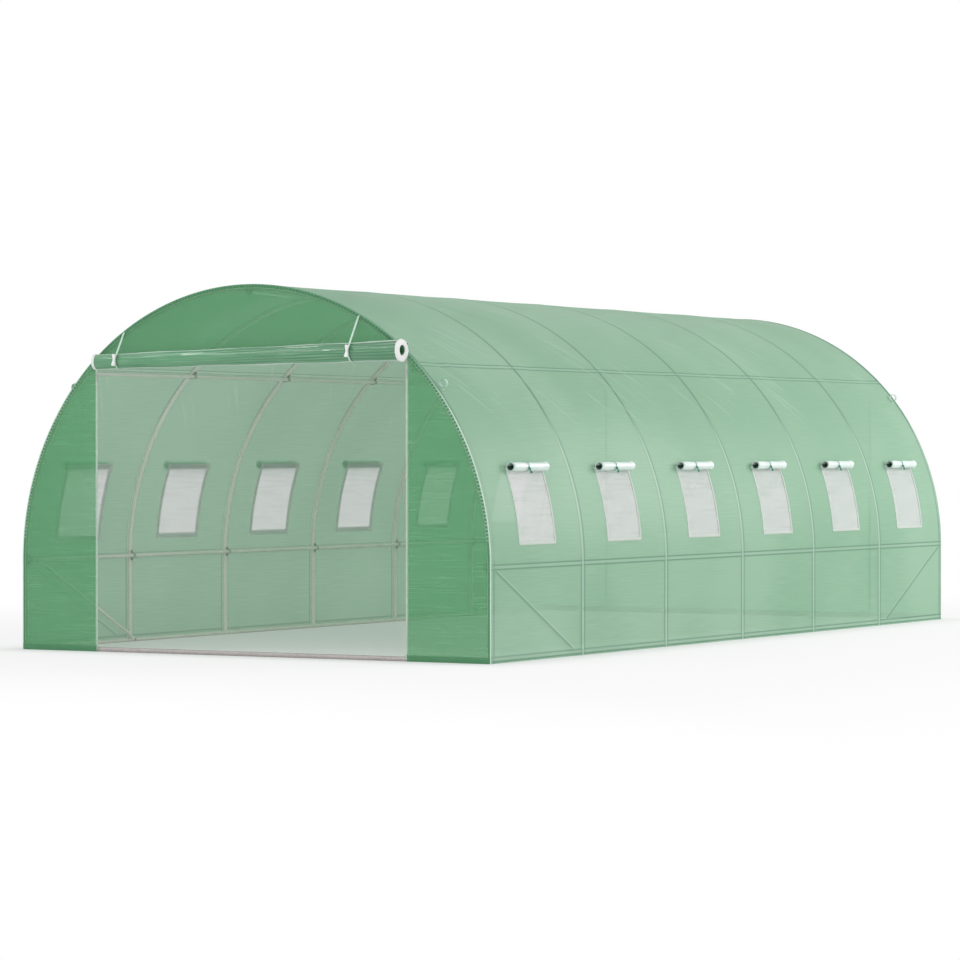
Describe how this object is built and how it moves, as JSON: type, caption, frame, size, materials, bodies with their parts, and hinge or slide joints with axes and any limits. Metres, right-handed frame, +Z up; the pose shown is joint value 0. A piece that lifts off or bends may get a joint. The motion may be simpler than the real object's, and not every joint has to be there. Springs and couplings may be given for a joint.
{
  "type": "polytunnel greenhouse",
  "caption": "Hooped walk-in polytunnel greenhouse: galvanised tube frame under a green woven cover, screened side windows with rolled flaps, front door rolled up, rear door zipped.",
  "frame": {"origin": "on the ground, under the middle of the overall box", "axes": "+X to the right seen from the open door, +Y from the open door to the rear, +Z up"},
  "size_m": [3, 6.1312, 2],
  "materials": {
    "galvanised_tube": "dull zinc",
    "pressed_clamp": "zinc plated",
    "green_cover": "woven sheet, satin",
    "window_screen": "fine open mesh",
    "window_flap": "clear sheet, satin",
    "zip_tape": "coil zip on tape",
    "webbing": "woven tape"
  },
  "bodies": {
    "root": {"front_hoop": "galvanised_tube", "hoop_2": "galvanised_tube", "hoop_3": "galvanised_tube", "hoop_4": "galvanised_tube", "hoop_5": "galvanised_tube", "hoop_6": "galvanised_tube", "rear_hoop": "galvanised_tube", "ridge_purlin": "galvanised_tube", "left_purlin": "galvanised_tube", "right_purlin": "galvanised_tube", "left_side_rail": "galvanised_tube", "right_side_rail": "galvanised_tube", "left_base_rail": "galvanised_tube", "right_base_rail": "galvanised_tube", "front_base_rail": "galvanised_tube", "rear_base_rail": "galvanised_tube", "front_left_brace": "galvanised_tube", "front_right_brace": "galvanised_tube", "rear_left_brace": "galvanised_tube", "rear_right_brace": "galvanised_tube", "saddle_clamps": "pressed_clamp", "left_skirt": "green_cover", "right_skirt": "green_cover", "left_wall": "green_cover", "right_wall": "green_cover", "left_shoulder": "green_cover", "right_shoulder": "green_cover", "crown": "green_cover", "front_left_panel": "green_cover", "front_right_panel": "green_cover", "front_top_panel": "green_cover", "rear_left_panel": "green_cover", "rear_right_panel": "green_cover", "rear_top_panel": "green_cover", "rear_door": "green_cover", "front_door_roll": "green_cover", "left_window_screens": "window_screen", "right_window_screens": "window_screen", "left_window_flaps": "window_flap", "right_window_flaps": "window_flap", "front_zips": "zip_tape", "rear_zips": "zip_tape", "front_door_ties": "webbing", "guy_loops": "webbing"}
  },
  "joints": []
}
